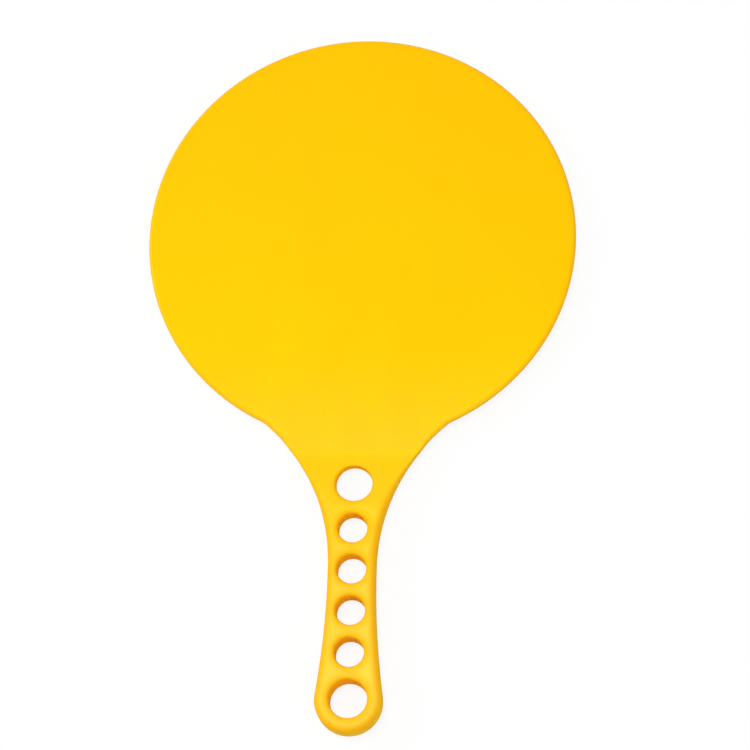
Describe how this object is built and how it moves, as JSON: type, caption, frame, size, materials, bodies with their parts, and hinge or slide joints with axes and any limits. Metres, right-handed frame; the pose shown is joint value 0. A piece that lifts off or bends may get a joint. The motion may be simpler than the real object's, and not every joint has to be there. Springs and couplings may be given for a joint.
{
  "type": "beach tennis racket",
  "caption": "Flat beach tennis racket: a round solid blade on a tang, held between two tapering grip scales with a row of round holes and a hanging hole.",
  "frame": {"origin": "middle of the racket's length and width, on the surface that it lies on, under the back face of the grip's end", "axes": "+X across the blade, +Y along the racket towards the blade's tip, +Z out of the front face"},
  "size_m": [0.224, 0.3742, 0.0157],
  "materials": {
    "blade_plastic": "satin",
    "grip_plastic": "satin"
  },
  "bodies": {
    "root": {"blade_plate": "blade_plastic", "grip_scale_front": "grip_plastic", "grip_scale_back": "grip_plastic"}
  },
  "joints": []
}
